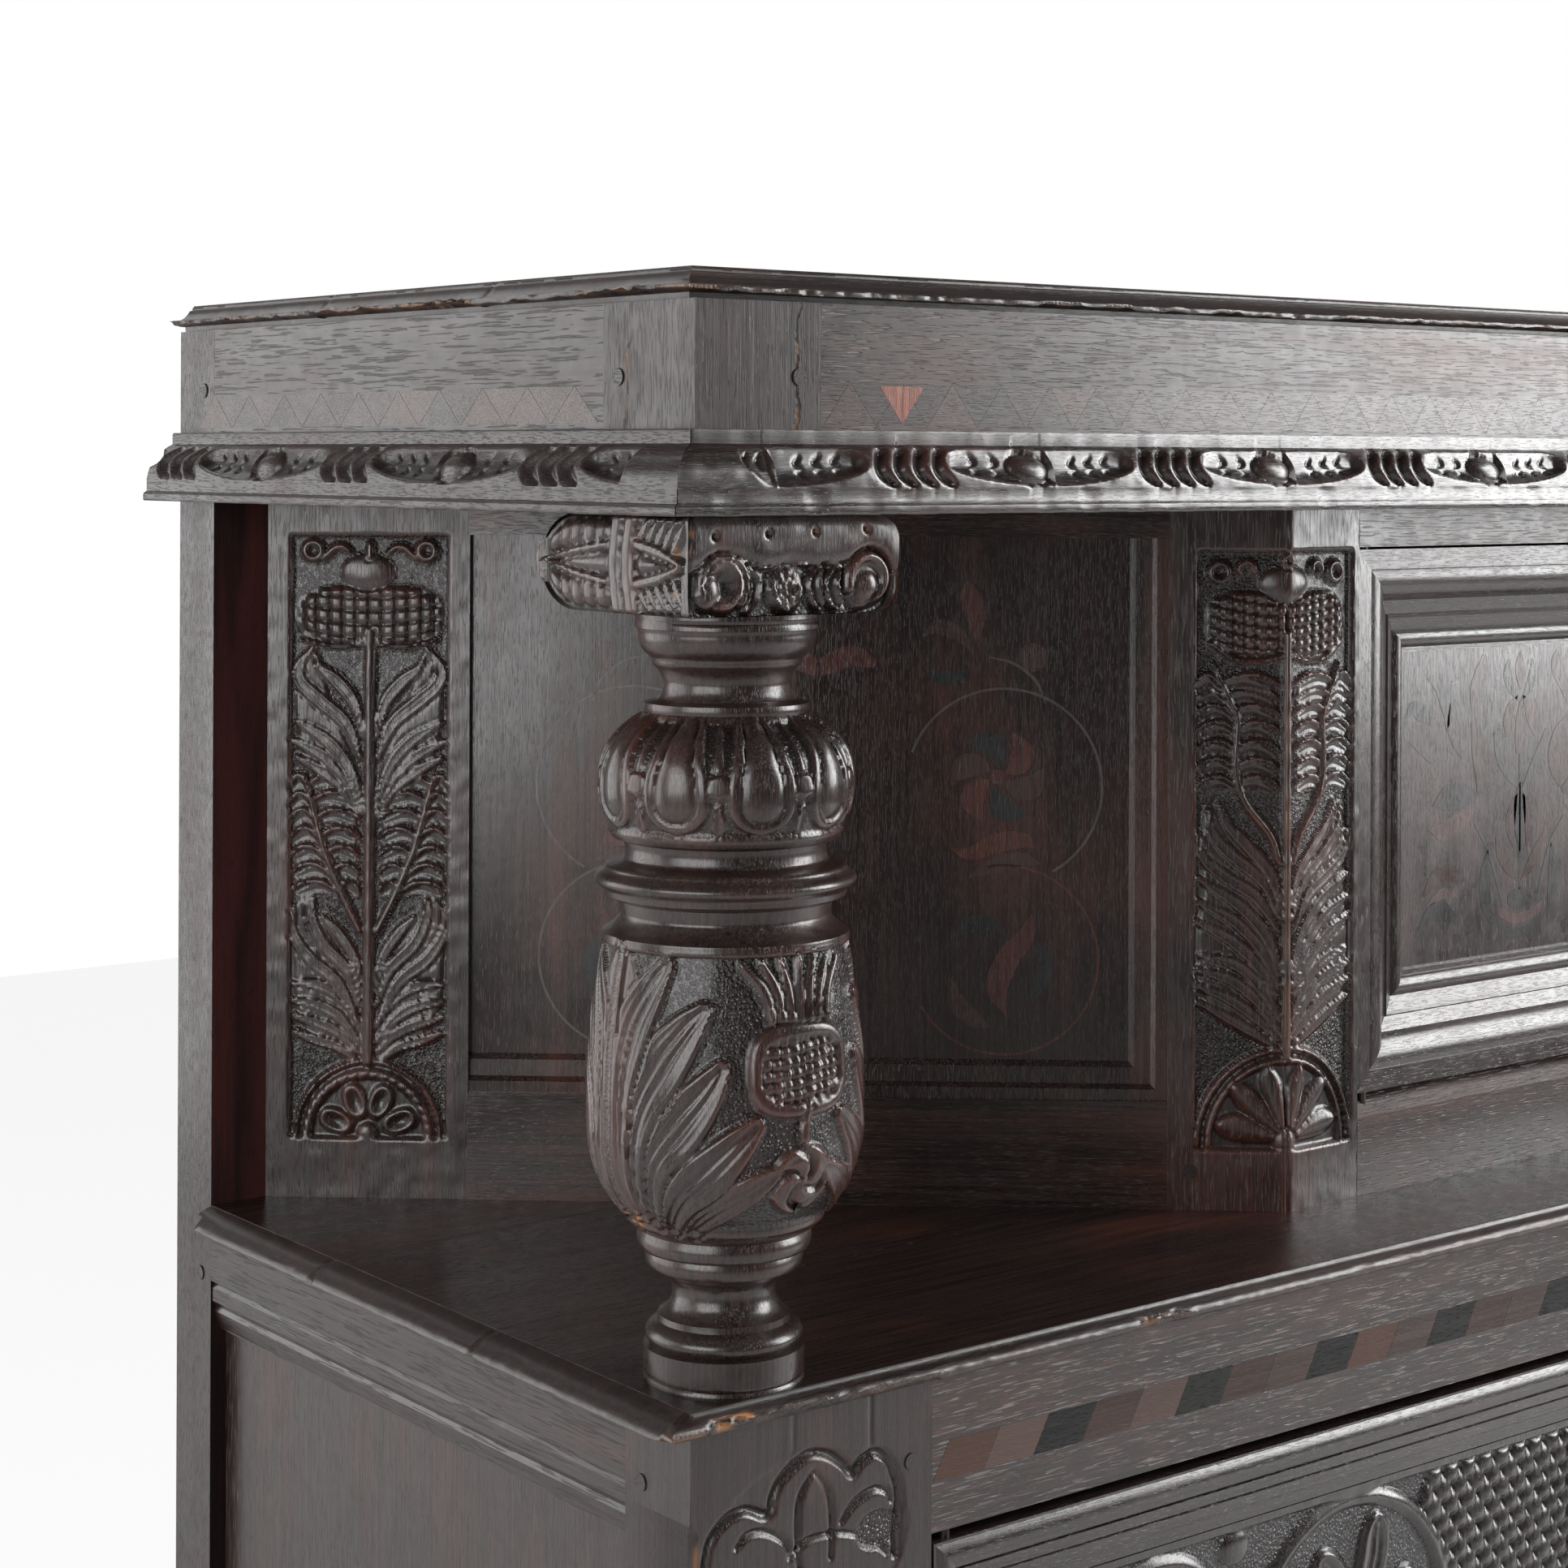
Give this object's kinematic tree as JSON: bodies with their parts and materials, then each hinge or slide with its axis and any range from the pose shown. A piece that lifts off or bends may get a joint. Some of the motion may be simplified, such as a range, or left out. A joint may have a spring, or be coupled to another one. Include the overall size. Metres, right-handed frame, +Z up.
{
  "type": "court cupboard",
  "caption": "Joined oak court cupboard: canted upper cupboard behind turned columns, carved frieze, panelled cupboard doors below.",
  "frame": {"origin": "on the floor, under the middle of the whole object's width and depth", "axes": "+Z up, +X to the right when facing the front, the front faces -Y"},
  "size_m": [1.642, 0.5914, 1.474],
  "materials": {
    "frame_oak": "waxed, near black",
    "turned_oak": "polished, near black",
    "inlaid_oak": "waxed, faint inlay",
    "inlaid_rail_oak": "waxed, inlaid band",
    "board_oak": "waxed, worn edges",
    "rough_oak": "dry, unwaxed",
    "peg_oak": "worn end grain",
    "knob_oak": "hand-worn, glossy",
    "pin_iron": "wrought, rusted"
  },
  "bodies": {
    "carcass": {"front_post_left": "frame_oak", "front_post_right": "frame_oak", "rear_post_left": "frame_oak", "rear_post_right": "frame_oak", "middle_front_rail": "inlaid_rail_oak", "bottom_front_rail": "frame_oak", "centre_muntin": "frame_oak", "side_top_rail_left": "frame_oak", "side_top_rail_right": "frame_oak", "side_bottom_rails": "frame_oak", "side_panel_left": "frame_oak", "side_panel_right": "frame_oak", "back_bottom_rail": "rough_oak", "back_middle_rail": "rough_oak", "back_top_rail": "rough_oak", "lower_back_boards": "rough_oak", "upper_back_boards": "rough_oak", "floor_boards": "rough_oak", "shelf_boards": "board_oak", "column_left": "turned_oak", "column_right": "turned_oak", "capital_left": "turned_oak", "capital_right": "turned_oak", "corner_block_left": "frame_oak", "corner_block_right": "frame_oak", "frieze_front_rail": "inlaid_rail_oak", "frieze_side_rail_left": "inlaid_rail_oak", "frieze_side_rail_right": "inlaid_rail_oak", "cornice_front": "frame_oak", "cornice_side_left": "frame_oak", "cornice_side_right": "frame_oak", "soffit_boards": "rough_oak", "top_boards": "board_oak", "corner_stile_left": "frame_oak", "corner_stile_right": "frame_oak", "canted_stile_left": "frame_oak", "canted_stile_right": "frame_oak", "canted_bottom_rail_left": "frame_oak", "canted_bottom_rail_right": "frame_oak", "canted_top_rails": "frame_oak", "canted_panel_left": "inlaid_oak", "canted_panel_right": "inlaid_oak", "canted_panel_mouldings": "frame_oak", "upper_bottom_rail": "frame_oak", "upper_top_rail": "frame_oak", "joint_pegs": "peg_oak", "door_pivot_pins": "pin_iron"},
    "upper_door": {"upper_door_stiles": "frame_oak", "upper_door_rails": "frame_oak", "upper_door_panel": "inlaid_oak", "upper_door_knob": "knob_oak"},
    "lower_door_left": {"lower_door_left_stiles": "frame_oak", "lower_door_left_rails": "frame_oak", "lower_door_left_panel": "frame_oak", "lower_door_left_knob": "knob_oak"},
    "lower_door_right": {"lower_door_right_stiles": "frame_oak", "lower_door_right_rails": "frame_oak", "lower_door_right_panel": "frame_oak", "lower_door_right_knob": "knob_oak"}
  },
  "joints": [
    {"name": "upper_door_hinge", "type": "hinge", "parent": "carcass", "child": "upper_door", "pos_m": [-0.1842, -0.163, 1.1451], "axis": [0, 0, -1], "range_deg": [0, 100]},
    {"name": "lower_door_left_hinge", "type": "hinge", "parent": "carcass", "child": "lower_door_left", "pos_m": [-0.6236, -0.2583, 0.488], "axis": [0, 0, -1], "range_deg": [0, 100]},
    {"name": "lower_door_right_hinge", "type": "hinge", "parent": "carcass", "child": "lower_door_right", "pos_m": [0.6236, -0.2583, 0.488], "axis": [0, 0, 1], "range_deg": [0, 100]}
  ]
}
